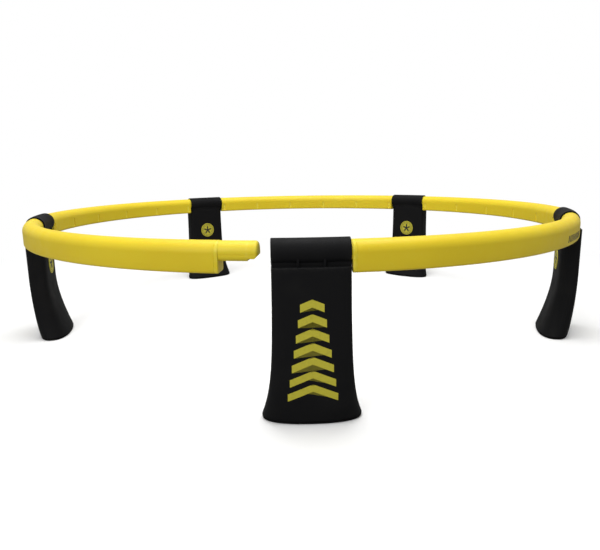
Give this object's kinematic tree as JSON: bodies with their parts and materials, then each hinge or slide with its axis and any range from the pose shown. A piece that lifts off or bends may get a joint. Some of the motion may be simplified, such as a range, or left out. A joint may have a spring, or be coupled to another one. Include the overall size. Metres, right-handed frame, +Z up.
{
  "type": "roundnet_frame",
  "caption": "Round standing game frame: curved rim segments plug into moulded flared legs, with one joint pulled open at the front",
  "frame": {"origin": "on the ground, at the middle of the footprint box of the frame as it stands with its front joint open", "axes": "+Z up, +Y to the rear, away from the open joint and the front leg, +X to the right seen from the front"},
  "size_m": [0.9308, 0.9398, 0.203],
  "materials": {
    "rim": "satin moulded yellow plastic",
    "plug": "satin moulded yellow plastic",
    "leg": "fine matte moulded black plastic",
    "pad": "matte black rubber",
    "badge": "satin olive yellow plastic"
  },
  "bodies": {
    "rim_rear": {"rim_rear": "rim", "plug_rear_left": "plug", "plug_rear_right": "plug"},
    "rim_left_rear": {"rim_left_rear": "rim", "plug_left_rear_rear": "plug", "plug_left_rear_front": "plug"},
    "rim_left_front": {"rim_left_front": "rim", "plug_left_front_rear": "plug", "plug_left_front_free": "plug"},
    "rim_right_rear": {"rim_right_rear": "rim", "plug_right_rear_rear": "plug", "plug_right_rear_front": "plug"},
    "rim_right_front": {"rim_right_front": "rim", "plug_right_front_rear": "plug", "plug_right_front_front": "plug"},
    "leg_front": {"leg_front": "leg", "pad_front": "pad", "badge_front": "badge"},
    "leg_right": {"leg_right": "leg", "pad_right": "pad", "badge_right": "badge"},
    "leg_right_rear": {"leg_right_rear": "leg", "pad_right_rear": "pad", "badge_right_rear": "badge"},
    "leg_left_rear": {"leg_left_rear": "leg", "pad_left_rear": "pad", "badge_left_rear": "badge"},
    "leg_left": {"leg_left": "leg", "pad_left": "pad", "badge_left": "badge"}
  },
  "joints": [
    {"name": "pull_leg_left_rear", "type": "slide", "parent": "rim_rear", "child": "leg_left_rear", "axis": [-0.8379, -0.5459, 0], "range_m": [0, 0.046]},
    {"name": "close_left_rear", "type": "hinge", "parent": "leg_left_rear", "child": "rim_left_rear", "pos_m": [-0.27892, 0.35834, 0], "axis": [0, 0, 1], "range_deg": [0, 1.39]},
    {"name": "pull_leg_left", "type": "slide", "parent": "rim_left_rear", "child": "leg_left", "axis": [0.2368, -0.9716, 0], "range_m": [0, 0.046]},
    {"name": "close_left", "type": "hinge", "parent": "leg_left", "child": "rim_left_front", "pos_m": [-0.42688, -0.1422, 0], "axis": [0, 0, 1], "range_deg": [0, 1.39]},
    {"name": "pull_leg_right_rear", "type": "slide", "parent": "rim_rear", "child": "leg_right_rear", "axis": [0.8379, -0.5459, 0], "range_m": [0, 0.046]},
    {"name": "close_right_rear", "type": "hinge", "parent": "leg_right_rear", "child": "rim_right_rear", "pos_m": [0.27892, 0.35834, 0], "axis": [0, 0, -1], "range_deg": [0, 1.39]},
    {"name": "pull_leg_right", "type": "slide", "parent": "rim_right_rear", "child": "leg_right", "axis": [-0.2368, -0.9716, 0], "range_m": [0, 0.046]},
    {"name": "close_right", "type": "hinge", "parent": "leg_right", "child": "rim_right_front", "pos_m": [0.42688, -0.1422, 0], "axis": [0, 0, -1], "range_deg": [0, 1.39]},
    {"name": "close_front", "type": "hinge", "parent": "rim_right_front", "child": "leg_front", "pos_m": [0.04896, -0.44573, 0], "axis": [0, 0, -1], "range_deg": [0, 1.39]}
  ],
  "couplings": [
    {"joint": "close_left_rear", "follows": "close_right_rear", "ratio": 1},
    {"joint": "close_left", "follows": "close_right_rear", "ratio": 1},
    {"joint": "close_right", "follows": "close_right_rear", "ratio": 1},
    {"joint": "close_front", "follows": "close_right_rear", "ratio": 1}
  ]
}
